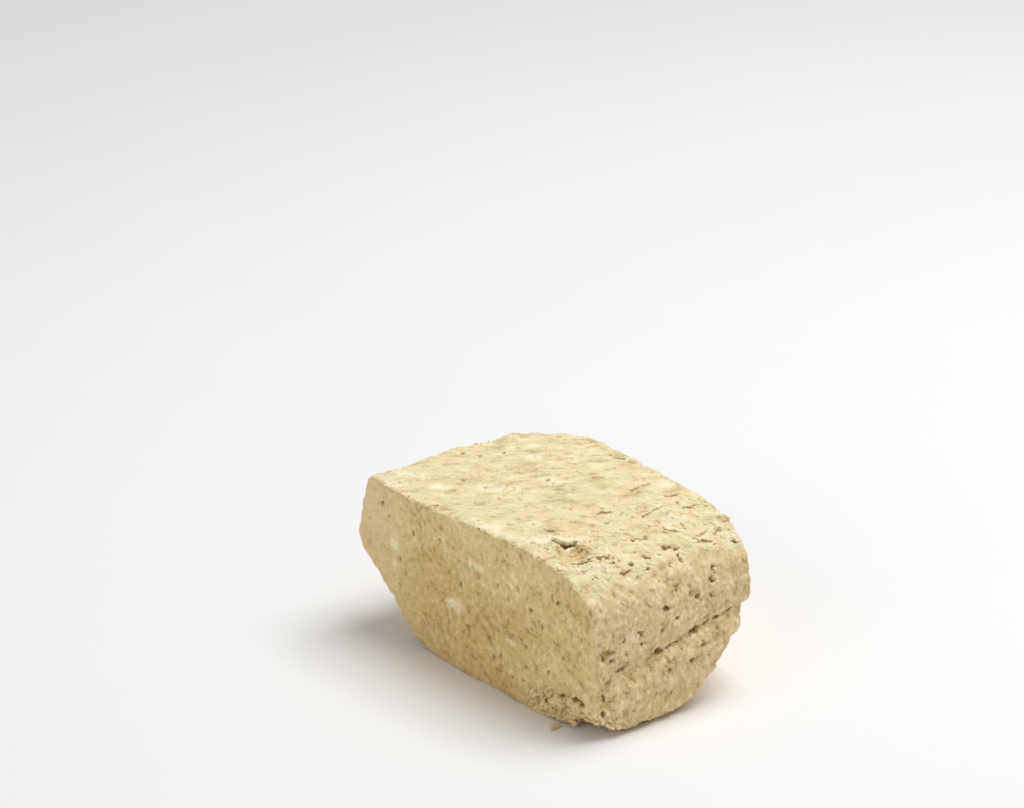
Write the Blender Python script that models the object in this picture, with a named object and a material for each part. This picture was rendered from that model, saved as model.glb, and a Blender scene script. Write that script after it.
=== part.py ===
"""A block of sunflower halva, cut with a knife from a pressed bar.

X runs across the bar, Y along it and Z up, in metres. The block lies on its flat base.
The near knife cut faces -Y, and the bar's long side, with its crack, faces +X.
"""

import math

import bmesh
import bpy
from mathutils import Vector, noise

MM = 0.001

# The pressed bar, seen along its length. X is measured from its back and Z from its base.
BAR_WIDTH = 82 * MM
BAR_HEIGHT = 38.5 * MM
SHOULDER_RADIUS = 15 * MM
SIDE_FLARE = 2.2 * MM
FOOT_RADIUS = 5 * MM
TOP_CROWN = 1.0 * MM
CROWN_X = 55 * MM
CROWN_RADIUS = 120 * MM
BACK_EDGE_RADIUS = 1.5 * MM
BACK_BULGE = 4.4 * MM
BULGE_HEIGHT = 21 * MM
BULGE_RADIUS = 6 * MM
UNDERCUT_REACH = 20 * MM
UNDERCUT_RADIUS = 12 * MM
ARC_STEPS = 8

# The length between the two knife cuts. Y is measured from the near one, and the far one is askew.
PIECE_LENGTH = 48 * MM
BAR_OVERHANG = 30 * MM
FAR_CUT_TURN = math.radians(8)

# What broke off: an upright back corner, the far foot and a thin chip under the near foot.
BACK_LOSS = Vector((14 * MM, 17 * MM, 0))
FAR_FOOT_LOSS = Vector((-31 * MM, -24 * MM, 23 * MM))
NEAR_FOOT_LOSS = Vector((-20 * MM, 30 * MM, 2.4 * MM))

# The crack between two pressed layers, which climbs along the side.
CRACK_NEAR = Vector((0, 5 * MM, 13.2 * MM))
CRACK_FAR = Vector((0, 48 * MM, 20.8 * MM))
CRACK_WIDTH = 1.4 * MM
CRACK_DEPTH = 4.0 * MM
CRACK_WANDER = 1.0 * MM
CRACK_OPENING = (2 * MM, 9 * MM)
CRACK_EVENNESS = 0.55
CRACK_UNEVENNESS = 0.9
LOWER_LAYER_STEP = 0.9 * MM

# The torn hollow in the top, beside the shoulder.
HOLLOW_CENTRE = Vector((65 * MM, 8 * MM, 0))
HOLLOW_LENGTH = 10 * MM
HOLLOW_WIDTH = 8 * MM
HOLLOW_DEPTH = 2.6 * MM
HOLLOW_TURN = math.radians(-51)
HOLLOW_WALL = (0.7, 1.1)
HOLLOW_RAGGEDNESS = 0.35

# The ledge where the flaky top layer ends, and the sag of the top at the near cut.
LEDGE_X = 67 * MM
LEDGE_DROP = 0.7 * MM
LEDGE_WANDER = 3 * MM
LEDGE_EDGE = 0.5 * MM
LEDGE_FADE = (4 * MM, 12 * MM)
NEAR_SAG = 1.3 * MM
NEAR_SAG_X = 27 * MM
NEAR_SAG_WIDTH = 17 * MM
NEAR_SAG_LENGTH = 34 * MM

# Relief: how far each form reaches out of the surface, and how large it is.
SWELL_LIFT = 0.7 * MM
SWELL_SIZE = 17 * MM
FLAKE_LIFT = 0.7 * MM
FLAKE_ACROSS = 5 * MM
FLAKE_ALONG = 8 * MM
FLAKE_TURN = math.radians(35)
FLAKE_RAGGEDNESS = 0.6
CRUMB_LIFT = 0.5 * MM
CRUMB_SIZE = 3.2 * MM
CRAG_LIFT = 1.5 * MM
CRAG_SIZE = 5.5 * MM
CRAG_LEVEL = 0.25
CRAGGY_FOOT = (1 * MM, 8 * MM)

# A surface counts as top, side, cut or broken underside by how far its normal faces that way.
TOP_FACING = (0.55, 0.85)
SIDE_FACING = (0.4, 0.8)
CUT_FACING = (0.6, 0.9)
UNDER_FACING = (0.25, 0.6)
CUT_SMOOTHNESS = 0.8
FOOT_CRAGGINESS = 0.75

VOXEL = 0.8 * MM
TRIANGLES = 10600
BASE_SKIM = 0.5 * MM
HALVA_COLOUR = (0.71, 0.60, 0.36, 1)
HALVA_ROUGHNESS = 0.75


def clear_scene():
    for thing in list(bpy.data.objects):
        bpy.data.objects.remove(thing)


def smooth_step(limits, value):
    """Rises smoothly from 0 at the lower limit to 1 at the upper one."""
    low, high = limits
    share = min(1, max(0, (value - low) / (high - low)))
    return share * share * (3 - 2 * share)


def filleted(before, corner, after, radius):
    """Points of the arc that rounds the corner between two straight runs."""
    inward = (before - corner).normalized()
    outward = (after - corner).normalized()
    half_angle = inward.angle(outward) / 2
    centre = corner + (inward + outward).normalized() * radius / math.sin(half_angle)
    start = corner + inward * radius / math.tan(half_angle) - centre
    end = corner + outward * radius / math.tan(half_angle) - centre
    turns = [step / ARC_STEPS for step in range(ARC_STEPS + 1)]
    return [centre + radius * start.slerp(end, turn) for turn in turns]


def bar_outline():
    """The cross-section: a flared side, a broad shoulder, a crowned top and an undercut back."""
    corners = (
        (BAR_WIDTH + SIDE_FLARE, 0, FOOT_RADIUS),
        (BAR_WIDTH, BAR_HEIGHT, SHOULDER_RADIUS),
        (CROWN_X, BAR_HEIGHT + TOP_CROWN, CROWN_RADIUS),
        (0, BAR_HEIGHT, BACK_EDGE_RADIUS),
        (-BACK_BULGE, BULGE_HEIGHT, BULGE_RADIUS),
        (UNDERCUT_REACH, 0, UNDERCUT_RADIUS),
    )
    points = [Vector((x, 0, z)) for x, z, _ in corners]
    outline = []
    for index, (_, _, radius) in enumerate(corners):
        before = points[index - 1]
        after = points[(index + 1) % len(points)]
        outline += filleted(before, points[index], after, radius)
    return outline


def cut_away(bm, point, outward):
    """Removes what lies past a plane, and closes the cut with one face."""
    everything = bm.verts[:] + bm.edges[:] + bm.faces[:]
    bmesh.ops.bisect_plane(bm, geom=everything, plane_co=point, plane_no=outward, clear_outer=True)
    rim = [edge for edge in bm.edges if edge.is_boundary]
    bmesh.ops.contextual_create(bm, geom=rim)


def break_off(bm, corner, reach):
    """Removes a corner by the plane that crosses its three edges at these distances."""
    inward = Vector((1 / reach.x, 1 / reach.y, 1 / reach.z))
    cut_away(bm, corner + Vector((reach.x, 0, 0)), -inward.normalized())


def pressed_bar():
    """A stretch of the bar that runs past both ends of the block."""
    bm = bmesh.new()
    near_end = bm.faces.new([bm.verts.new(point) for point in bar_outline()])
    bmesh.ops.translate(bm, verts=bm.verts, vec=(0, -BAR_OVERHANG, 0))
    grown = bmesh.ops.extrude_face_region(bm, geom=[near_end])
    far_end = [item for item in grown["geom"] if isinstance(item, bmesh.types.BMVert)]
    length = PIECE_LENGTH + 2 * BAR_OVERHANG
    bmesh.ops.translate(bm, verts=far_end, vec=(0, length, 0))
    bmesh.ops.recalc_face_normals(bm, faces=bm.faces)
    return bm


def cut_block():
    """The bar between its two knife cuts, without what broke off."""
    bm = pressed_bar()
    cut_away(bm, Vector(), Vector((0, -1, 0)))
    far_end = Vector((BAR_WIDTH, PIECE_LENGTH, 0))
    cut_away(bm, far_end, Vector((math.sin(FAR_CUT_TURN), math.cos(FAR_CUT_TURN), 0)))

    back_end = PIECE_LENGTH + BAR_WIDTH * math.tan(FAR_CUT_TURN)
    loss_normal = Vector((-BACK_LOSS.y, BACK_LOSS.x, 0)).normalized()
    cut_away(bm, Vector((0, back_end - BACK_LOSS.y, 0)), loss_normal)
    side = BAR_WIDTH + SIDE_FLARE
    break_off(bm, Vector((side, PIECE_LENGTH, 0)), FAR_FOOT_LOSS)
    break_off(bm, Vector((side, 0, 0)), NEAR_FOOT_LOSS)
    return bm


def make_object(bm):
    mesh = bpy.data.meshes.new("halva_block")
    bm.to_mesh(mesh)
    bm.free()
    block = bpy.data.objects.new("halva_block", mesh)
    bpy.context.scene.collection.objects.link(block)
    return block


def apply_modifiers(block):
    """Turns the block's modifiers into its mesh."""
    bpy.context.view_layer.update()
    graph = bpy.context.evaluated_depsgraph_get()
    old = block.data
    block.data = bpy.data.meshes.new_from_object(block.evaluated_get(graph))
    block.modifiers.clear()
    bpy.data.meshes.remove(old)


def remesh(block):
    """Gives the block even faces, small enough to carry its relief."""
    even = block.modifiers.new("even", "REMESH")
    even.mode = "VOXEL"
    even.voxel_size = VOXEL
    apply_modifiers(block)


def turned(point, angle):
    """How far a point lies across and along a direction that is turned about Z."""
    across = point.x * math.cos(angle) + point.y * math.sin(angle)
    along = point.y * math.cos(angle) - point.x * math.sin(angle)
    return across, along


def flake_lift(point):
    """Overlapping flakes on the top: plates at uneven heights, with ragged outlines."""
    across, along = turned(point, FLAKE_TURN)
    place = Vector((across / FLAKE_ACROSS, along / FLAKE_ALONG, 0))
    place += FLAKE_RAGGEDNESS * noise.noise_vector(point / CRAG_SIZE)
    nearest_plate = noise.voronoi(place)[1][0]
    return FLAKE_LIFT * noise.noise(nearest_plate * BAR_WIDTH / FLAKE_ALONG)


def hollow_depth(point):
    """The torn hollow, an oval with a ragged rim."""
    across, along = turned(point - HOLLOW_CENTRE, -HOLLOW_TURN)
    reach = math.hypot(2 * across / HOLLOW_WIDTH, 2 * along / HOLLOW_LENGTH)
    reach += HOLLOW_RAGGEDNESS * noise.noise(point / CRUMB_SIZE)
    return HOLLOW_DEPTH * (1 - smooth_step(HOLLOW_WALL, reach))


def ledge_drop(point):
    """The step down where the flaky layer ends and the shoulder begins to fall."""
    edge = LEDGE_X + LEDGE_WANDER * noise.noise(Vector((0, point.y / CRAG_SIZE, 0)))
    past_edge = point.x - edge
    return LEDGE_DROP * smooth_step((0, LEDGE_EDGE), past_edge) * (1 - smooth_step(LEDGE_FADE, past_edge))


def near_sag(point):
    """The top sags a little towards the near cut."""
    across = (point.x - NEAR_SAG_X) / NEAR_SAG_WIDTH
    return NEAR_SAG * math.exp(-across * across) * (1 - smooth_step((0, NEAR_SAG_LENGTH), point.y))


def crack_height(point):
    """The crack climbs steeply at first, then runs level to the far end."""
    share = (point.y - CRACK_NEAR.y) / (CRACK_FAR.y - CRACK_NEAR.y)
    climb = math.sin(min(1, max(0, share)) * math.pi / 2)
    wander = CRACK_WANDER * noise.noise(Vector((BAR_WIDTH, point.y, 0)) / CRAG_SIZE)
    return CRACK_NEAR.z + climb * (CRACK_FAR.z - CRACK_NEAR.z) + wander


def crack_shift(point):
    """The crack, and the layer below it, which stands a little proud."""
    above = point.z - crack_height(point)
    opened = smooth_step(CRACK_OPENING, point.y)
    unevenness = noise.noise(Vector((BAR_HEIGHT, point.y, 0)) / CRUMB_SIZE)
    depth = CRACK_DEPTH * max(0, CRACK_EVENNESS + CRACK_UNEVENNESS * unevenness)
    groove = depth * math.exp(-((above / CRACK_WIDTH) ** 2))
    proud = LOWER_LAYER_STEP * (1 - smooth_step((-CRACK_WIDTH, CRACK_WIDTH), above))
    return opened * (proud - groove)


def lumps(point, size, octaves):
    """Rounded lumps with smaller ones on them, from about -1 to 1."""
    return noise.fractal(point / size, 1, 2, octaves)


def crag_lift(point):
    """Broken lumps with clefts between them."""
    nearest, second = noise.voronoi(point / CRAG_SIZE)[0][:2]
    return CRAG_LIFT * ((lumps(point, CRAG_SIZE, 3) + second - nearest) / 2 - CRAG_LEVEL)


def relief(point, normal):
    """How far the surface stands out from the plain block."""
    top = smooth_step(TOP_FACING, normal.z)
    side = smooth_step(SIDE_FACING, normal.x)
    smooth = CUT_SMOOTHNESS * smooth_step(CUT_FACING, abs(normal.y))
    broken = smooth_step(UNDER_FACING, -normal.z) * smooth_step((0, CRAGGY_FOOT[0]), point.z)
    foot = FOOT_CRAGGINESS * (1 - smooth_step(CRAGGY_FOOT, point.z))

    shift = SWELL_LIFT * noise.noise(point / SWELL_SIZE)
    shift += top * (flake_lift(point) - hollow_depth(point) - ledge_drop(point) - near_sag(point))
    shift += side * crack_shift(point)
    shift += (1 - smooth) * CRUMB_LIFT * lumps(point, CRUMB_SIZE, 2)
    shift += (1 - smooth / 2) * max(foot, broken) * crag_lift(point)
    return shift


def roughen(block):
    """Moves each point of the mesh out or in by the halva's relief."""
    places = [(vertex.co.copy(), vertex.normal.copy()) for vertex in block.data.vertices]
    for vertex, (point, normal) in zip(block.data.vertices, places):
        vertex.co = point + normal * relief(point, normal)
    block.data.update()


def thin_out(block):
    """Drops points where the surface is plain, and keeps them where it is craggy."""
    fewer = block.modifiers.new("fewer", "DECIMATE")
    fewer.ratio = TRIANGLES / (2 * len(block.data.polygons))
    fewer.use_collapse_triangulate = True
    apply_modifiers(block)


def drop_scraps(bm):
    """Keeps the largest shell, without crumbs that came loose or hollows that were sealed."""
    unseen = set(bm.verts)
    shells = []
    while unseen:
        shell, fringe = set(), [unseen.pop()]
        while fringe:
            vertex = fringe.pop()
            shell.add(vertex)
            nearby = {edge.other_vert(vertex) for edge in vertex.link_edges} & unseen
            unseen -= nearby
            fringe += nearby
        shells.append(shell)
    largest = max(shells, key=len)
    scraps = [vertex for vertex in bm.verts if vertex not in largest]
    bmesh.ops.delete(bm, geom=scraps, context="VERTS")


def skim_base(bm):
    """Cuts the underside to the one flat face that the block lies on."""
    everything = bm.verts[:] + bm.edges[:] + bm.faces[:]
    floor = Vector((0, 0, BASE_SKIM))
    bmesh.ops.bisect_plane(bm, geom=everything, plane_co=floor, plane_no=(0, 0, -1), clear_outer=True)
    drop_scraps(bm)
    rim = [edge for edge in bm.edges if edge.is_boundary]
    bmesh.ops.triangle_fill(bm, edges=rim, use_beauty=True, use_dissolve=False, normal=(0, 0, -1))
    bmesh.ops.recalc_face_normals(bm, faces=bm.faces)


def centre_on_base(bm):
    """Sets the origin at the middle of the block's box, on its base."""
    low = [min(vertex.co[axis] for vertex in bm.verts) for axis in range(3)]
    high = [max(vertex.co[axis] for vertex in bm.verts) for axis in range(3)]
    middle = Vector(((low[0] + high[0]) / 2, (low[1] + high[1]) / 2, low[2]))
    bmesh.ops.translate(bm, verts=bm.verts, vec=-middle)


def finish_mesh(block):
    bm = bmesh.new()
    bm.from_mesh(block.data)
    skim_base(bm)
    centre_on_base(bm)
    bm.to_mesh(block.data)
    bm.free()


def halva_material():
    material = bpy.data.materials.new("halva")
    material.use_nodes = True
    surface = material.node_tree.nodes["Principled BSDF"]
    surface.inputs["Base Color"].default_value = HALVA_COLOUR
    surface.inputs["Roughness"].default_value = HALVA_ROUGHNESS
    surface.inputs["Metallic"].default_value = 0
    return material


def main():
    clear_scene()
    block = make_object(cut_block())
    remesh(block)
    roughen(block)
    remesh(block)
    thin_out(block)
    finish_mesh(block)
    block.data.materials.append(halva_material())


main()
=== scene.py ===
"""The looks of a block of sunflower halva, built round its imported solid.

The solid's surface is copied finely and gets its flakes, grains, pits, tears and crack. Loose flakes,
crumbs, fibres and husk chips lie on it as meshes of their own.
"""

import math

import bmesh
import bpy
import numpy as np
from mathutils import Matrix, Vector, noise


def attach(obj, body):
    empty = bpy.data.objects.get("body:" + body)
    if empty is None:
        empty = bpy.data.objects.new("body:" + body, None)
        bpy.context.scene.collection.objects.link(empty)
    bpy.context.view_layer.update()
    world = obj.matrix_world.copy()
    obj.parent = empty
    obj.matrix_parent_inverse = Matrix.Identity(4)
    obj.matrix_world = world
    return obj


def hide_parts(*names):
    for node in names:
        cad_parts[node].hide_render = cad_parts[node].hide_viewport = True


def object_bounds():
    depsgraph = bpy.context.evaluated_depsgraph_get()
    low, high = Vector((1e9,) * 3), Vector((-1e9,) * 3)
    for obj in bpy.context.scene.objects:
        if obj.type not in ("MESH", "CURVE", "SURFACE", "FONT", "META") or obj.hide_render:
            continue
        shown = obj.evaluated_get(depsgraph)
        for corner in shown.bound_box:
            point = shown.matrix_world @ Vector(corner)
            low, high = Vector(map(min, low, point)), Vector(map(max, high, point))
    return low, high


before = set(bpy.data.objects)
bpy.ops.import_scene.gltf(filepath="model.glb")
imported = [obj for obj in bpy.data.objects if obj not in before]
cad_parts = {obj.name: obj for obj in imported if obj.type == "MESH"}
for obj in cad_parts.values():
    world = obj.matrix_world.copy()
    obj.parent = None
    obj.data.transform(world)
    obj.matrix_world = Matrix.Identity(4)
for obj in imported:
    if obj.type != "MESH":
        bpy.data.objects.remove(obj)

MM = 0.001
NODE = "halva_block"
CAD_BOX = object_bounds()

# Places are in millimetres from the corner where the bar's back, its near knife cut and its base meet:
# x across the bar, y along it and z up. That corner lies here in the frame.
CORNER = np.array((-40.55, -28.78, -0.5))
ACROSS, ALONG, UP = np.eye(3)

# The knife cuts, as in the solid. The far one is askew.
BAR_WIDTH = 82.0
PIECE_LENGTH = 48.0
FAR_CUT_TURN = math.radians(8)

# The foot's corner under the near cut and the cracked side, which is crumbling.
BROKEN_CORNER = (72, 0, 1)
BROKEN_HEIGHT = 6.5

# The way that the top's flakes run, how far they are drawn out along it, and the way across it.
GRAIN_TURN = math.radians(51)
GRAIN = math.cos(GRAIN_TURN) * ACROSS + math.sin(GRAIN_TURN) * ALONG
GRAIN_STRETCH = 2.0
BEYOND = np.cross(UP, GRAIN)

# The heights between which the sides turn into the top, and how far inside a knife cut its look begins.
TOP_HEIGHTS = (27, 33)
CUT_REACH = (-4, -1.5)

# The directions of the length and width of what lies on each side.
TOP = (GRAIN, BEYOND)
SIDE = (ALONG, UP)
CUT = (ACROSS, UP)
SHOULDER = (ALONG, (ACROSS - UP) / math.sqrt(2))
EDGE = (ACROSS, ALONG)

# The crack between two pressed layers, as in the solid: y and z of its ends, and how it wanders.
CRACK_START = (5.0, 13.2)
CRACK_END = (48.0, 20.8)
CRACK_WANDER = 1.0
CRAG_SIZE = 5.5

# The side is smoothed this far over and under the crack, and gets a shallow valley along it.
CRACK_REACH = 3.0
VALLEY_HALF_WIDTH = 0.7
VALLEY_DEPTH = 0.45

# Where the crack gapes: the place along it, half its length, half its width and its depth.
CRACK_GAPS = (
    (18.9, 1.7, 0.8, 1.5),
    (21.9, 1.0, 0.6, 1.3),
    (24.9, 0.7, 0.45, 1.0),
    (29.8, 1.9, 0.8, 1.6),
    (33.9, 1.2, 0.7, 1.5),
    (37.2, 1.4, 0.5, 1.0),
    (41.4, 1.1, 0.5, 1.0),
)

# The torn hollow in the top, as in the solid.
HOLLOW_CENTRE = (65.0, 8.0, 38.5)
HOLLOW_LENGTH = 10.0
HOLLOW_WIDTH = 8.0
HOLLOW_TURN = math.radians(39)

# Torn edges in the top: x and y of the points along each, how deep it falls on its near side, and how
# far its far side curls up.
TEARS = (
    (((60.3, 30.0), (59.8, 33.0), (60.3, 36.2), (59.4, 41.5)), 0.35, 0.25),
    (((49.3, 38.2), (46.8, 42.2), (46.6, 45.0), (47.3, 48.4)), 0.4, 0.25),
    (((62.2, 42.6), (63.3, 48.0)), 0.38, 0.25),
    (((67.4, 32.6), (71.0, 35.4)), 0.38, 0.25),
    (((74.5, 35.4), (73.6, 38.7), (72.1, 43.2)), 0.35, 0.25),
    (((74.2, 35.8), (75.4, 38.4), (76.6, 41.6)), 0.35, 0.25),
    (((74.6, 42.0), (73.1, 45.6)), 0.35, 0.25),
    (((73.2, 27.0), (74.2, 31.0)), 0.38, 0.25),
    (((28.4, 51.2), (33.2, 52.8)), 0.38, 0.25),
    (((53.4, 9.2), (55.6, 12.2)), 0.4, 0.25),
    (((58.4, 7.8), (59.3, 9.2), (60.3, 10.5), (61.3, 11.8), (62.3, 13.6)), 1.1, 0.30),
    (((64.2, 4.2), (66.0, 6.2), (67.2, 8.3), (68.8, 9.2), (69.6, 12.0)), 1.0, 0.35),
    (((70.0, 10.8), (70.8, 15.2)), 0.4, 0.25),
    (((72.9, 11.4), (73.7, 15.6)), 0.4, 0.25),
    (((76.9, 11.8), (76.9, 14.1), (76.5, 16.9)), 0.7, 0.30),
    (((36.0, 36.5), (38.6, 41.5)), 0.35, 0.20),
    (((52.0, 25.5), (54.2, 30.2)), 0.35, 0.20),
    (((66.0, 23.2), (68.4, 27.0)), 0.35, 0.25),
    (((55.5, 43.0), (57.2, 47.5)), 0.40, 0.25),
)
TEAR_REACH = 1.1
TEAR_OVERHANG = 0.45

# Pits: place, directions of its length and width, half of each, and depth.
PITS = (
    ((60.6, 9.8, 37.9), TOP, 2.4, 0.65, 1.4),
    ((59.6, 7.6, 38.0), EDGE, 1.1, 0.6, 1.2),
    ((67.8, 5.4, 37.8), TOP, 1.5, 0.7, 1.6),
    ((69.8, 7.0, 37.6), TOP, 1.7, 0.9, 2.1),
    ((75.4, 16.9, 36.7), SHOULDER, 0.7, 0.7, 1.3),
    ((76.0, 6.2, 36.6), SHOULDER, 1.2, 0.5, 1.0),
    ((77.6, 20.0, 35.4), SHOULDER, 0.9, 0.5, 1.0),
    ((74.4, 21.9, 36.7), SHOULDER, 0.9, 0.6, 1.0),
    ((72.1, 20.8, 37.5), SHOULDER, 0.6, 0.5, 0.8),
    ((77.6, 46.7, 34.9), SHOULDER, 0.9, 0.6, 1.0),
    ((74.9, 31.0, 36.6), SHOULDER, 0.6, 0.5, 0.8),
    ((74.6, 27.9, 37.6), SHOULDER, 1.0, 0.5, 0.9),
    ((76.8, 30.1, 35.4), SIDE, 0.6, 0.6, 1.0),
    ((77.3, 45.8, 35.3), SIDE, 0.5, 0.5, 0.8),
    ((80.6, 37.0, 31.8), SIDE, 0.7, 0.6, 1.1),
    ((81.5, 36.0, 29.5), SIDE, 0.7, 0.6, 1.1),
    ((82.3, 34.9, 26.2), SIDE, 0.5, 0.5, 0.8),
    ((82.0, 31.0, 27.3), SIDE, 0.7, 0.5, 0.9),
    ((82.4, 21.6, 27.0), SIDE, 1.2, 0.65, 1.3),
    ((82.9, 24.5, 23.9), SIDE, 0.8, 0.5, 1.0),
    ((83.0, 13.7, 23.3), SIDE, 0.6, 0.9, 1.1),
    ((83.3, 13.6, 20.5), SIDE, 0.6, 0.5, 0.9),
    ((84.2, 31.3, 16.0), SIDE, 0.7, 0.9, 1.1),
    ((83.0, 3.9, 21.2), SIDE, 2.3, 0.9, 1.0),
    ((83.0, 3.2, 19.9), SIDE, 1.2, 1.2, 1.1),
    ((83.1, 5.0, 18.8), SIDE, 0.8, 0.6, 0.8),
    ((82.5, 7.8, 15.8), SIDE, 1.7, 0.6, 1.0),
    ((84.6, 21.0, 12.6), SIDE, 0.7, 0.7, 0.9),
    ((84.6, 27.8, 13.2), SIDE, 0.8, 0.6, 0.9),
    ((83.8, 2.0, 10.9), SIDE, 0.7, 1.1, 1.1),
    ((83.9, 1.9, 7.1), SIDE, 0.8, 0.9, 1.1),
    ((83.1, 0.4, 5.6), SIDE, 0.7, 0.7, 1.0),
    ((83.4, 3.4, 14.4), SIDE, 1.0, 0.6, 0.9),
    ((83.9, 16.6, 17.0), SIDE, 0.6, 0.5, 0.9),
    ((84.0, 22.2, 15.0), SIDE, 0.5, 0.5, 0.8),
    ((77.0, 0.2, 8.2), CUT, 2.1, 0.6, 1.2),
    ((71.0, 0.2, 7.4), CUT, 0.9, 0.6, 1.1),
    ((66.0, 0.1, 4.3), CUT, 0.5, 1.0, 1.3),
    ((72.1, 0.3, 2.6), CUT, 0.6, 0.6, 1.1),
    ((79.9, 0.2, 5.2), CUT, 1.0, 0.5, 0.9),
)

# Specks in the near cut: x and z, and what each measures, given like the pits.
CUT_SPECKS = (
    (68.3, 31.1), (70.0, 30.1), (43.1, 19.0), (49.0, 16.2), (57.0, 16.6), (58.9, 15.3), (47.3, 8.2),
    (72.3, 17.6), (12.4, 21.3), (15.1, 18.4), (59.0, 10.4), (62.2, 11.0), (51.2, 2.2), (5.4, 33.2),
    (17.8, 29.6), (27.5, 31.0), (35.2, 22.6), (60.5, 25.2), (64.8, 22.4), (52.6, 24.9), (37.9, 12.7),
    (68.6, 30.3), (45.4, 12.6), (49.6, 9.8), (54.4, 6.1), (58.2, 7.0), (66.4, 12.0), (61.0, 20.6),
)
SPECK = (CUT, 0.5, 0.5, 1.0)

# The creases in the near cut: x and z of the points along each, and what they measure.
CREASES = (
    ((34.8, 29.1), (37.4, 27.7), (40.5, 27.0), (44.3, 26.3), (49.7, 27.2), (56.2, 28.7)),
    ((35.7, 20.2), (40.4, 20.0), (43.7, 17.9), (46.1, 15.5), (48.9, 16.2), (55.4, 16.3), (58.6, 15.5)),
)
CREASE_HALF_WIDTH = 0.7
CREASE_DEPTH = 0.34

# Smudges in the top: x and y, and what each measures, given like the pits.
TOP_SMUDGES = (
    (56.9, 21.1), (63.1, 15.3), (63.3, 13.2), (65.0, 24.3), (67.6, 24.1), (58.3, 24.2), (1.4, 29.8),
    (3.9, 25.7), (7.2, 27.9), (15.4, 16.3), (19.5, 16.6), (31.8, 14.5), (42.7, 18.6), (22.7, 32.4),
    (25.4, 35.1), (30.8, 29.7), (68.4, 3.2), (69.8, 3.8), (47.4, 40.2), (59.1, 31.9), (68.8, 37.7),
    (68.2, 27.4), (59.9, 18.7), (50.9, 12.1), (71.6, 13.4), (71.0, 11.4),
)
SMUDGE = (TOP, 0.6, 0.65, 0.6)
TOP_HEIGHT = 38.8

# Further pits at random in each zone: how many, least half width, how much wider, depth by half width.
RANDOM_PITS = {
    "top": (80, 0.15, 0.30, 1.0),
    "side": (220, 0.15, 0.45, 1.2),
    "cut": (110, 0.12, 0.30, 0.9),
}

# Lumps that stand out, given like the pits. The last is the foot's worn corner, which lies back.
LUMPS = (
    ((77.2, 0.2, 5.6), CUT, 2.6, 2.0, 0.8),
    ((69.0, 0.2, 5.6), CUT, 1.4, 1.3, 0.6),
    ((71.4, 48.3, 37.9), TOP, 1.3, 0.9, 0.9),
    ((34.4, 52.6, 39.4), TOP, 0.9, 0.8, 1.0),
    ((72.6, 4.8, 37.6), TOP, 2.4, 0.9, 0.5),
    ((73.4, 9.4, 37.6), TOP, 2.4, 0.8, 0.6),
    ((63.8, 10.4, 37.0), TOP, 1.8, 0.8, 0.5),
    ((82.0, 0.5, 0.5), SIDE, 4.5, 5.0, -2.2),
)

# Pale patches: place, directions of length and width, half of each, and how pale if not fully. Two
# of them paint a highlight on the hollow's near ridge.
PALE_AND_HIGHLIT_PATCHES = (
    ((40.2, 0, 28.7), CUT, 3.6, 1.4),
    ((33.2, 0, 16.6), CUT, 3.6, 1.8),
    ((11.0, 0, 24.5), CUT, 1.6, 2.2),
    ((10.5, 0, 19.5), CUT, 1.2, 1.0),
    ((54.2, 0, 14.6), CUT, 1.8, 0.8),
    ((69.4, 0.2, 5.6), CUT, 1.2, 1.1, 0.4),
    ((75.6, 0.2, 7.0), CUT, 1.4, 0.8, 0.4),
    ((80.2, 0.4, 9.0), CUT, 0.7, 4.5, 0.7),
    ((3.5, 7.0, 38.4), TOP, 5.5, 2.0),
    ((11.0, 42.3, 38.4), TOP, 2.2, 1.8),
    ((16.4, 36.5, 38.8), TOP, 2.8, 1.4),
    ((28.0, 19.0, 38.5), TOP, 4.2, 1.4),
    ((15.5, 9.8, 38.5), TOP, 4.0, 1.5),
    ((45.0, 2.4, 39.3), EDGE, 10.0, 1.4),
    ((57.0, 4.0, 39.4), TOP, 5.0, 2.0),
    ((60.5, 11.5, 39.0), TOP, 3.4, 1.4),
    # Painted highlight on the hollow's near ridge, where the top rolls down into shade.
    ((73.4, 5.6, 37.2), TOP, 3.0, 1.0),
    ((73.6, 9.8, 37.7), TOP, 3.2, 1.2),
    ((50.5, 48.3, 39.4), TOP, 3.2, 2.0),
    ((66.0, 38.5, 38.8), TOP, 4.0, 1.8),
    ((76.0, 46.0, 36.0), SIDE, 3.0, 1.4),
)

# Rusty patches, given like the pale ones.
RUSTY_PATCHES = (
    ((64.6, 9.8, 36.8), TOP, 2.8, 2.2),
    ((83.0, 3.6, 20.6), SIDE, 2.4, 1.3),
    ((82.6, 8.4, 16.0), SIDE, 1.8, 0.8),
    ((83.9, 2.0, 9.0), SIDE, 0.9, 2.4),
    ((83.6, 18.9, 16.6), SIDE, 1.6, 0.8),
    ((72.0, 0.2, 4.0), CUT, 1.6, 1.0),
    ((76.0, 0.2, 2.5), CUT, 8.0, 4.0, 0.6),
    ((12.4, 0.0, 21.3), CUT, 0.8, 0.8),
    ((59.0, 0.0, 10.4), CUT, 1.0, 0.7),
    ((62.4, 0.0, 11.2), CUT, 0.8, 1.0),
    ((50.5, 0.2, 1.6), CUT, 2.2, 0.6),
)

# The fine copy of the solid's surface: voxels, rounds that smooth it and its crack, triangles kept.
VOXEL = 0.26
SOFTENING = 6
CRACK_SOFTENING = 260
BODY_TRIANGLES = 194000

# No relief goes deeper than this. It dies out towards the base, and openings flatten it by a share.
DEEPEST = 2.4
BASE_MARGIN = 0.8
FLATTENING = 0.5

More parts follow.
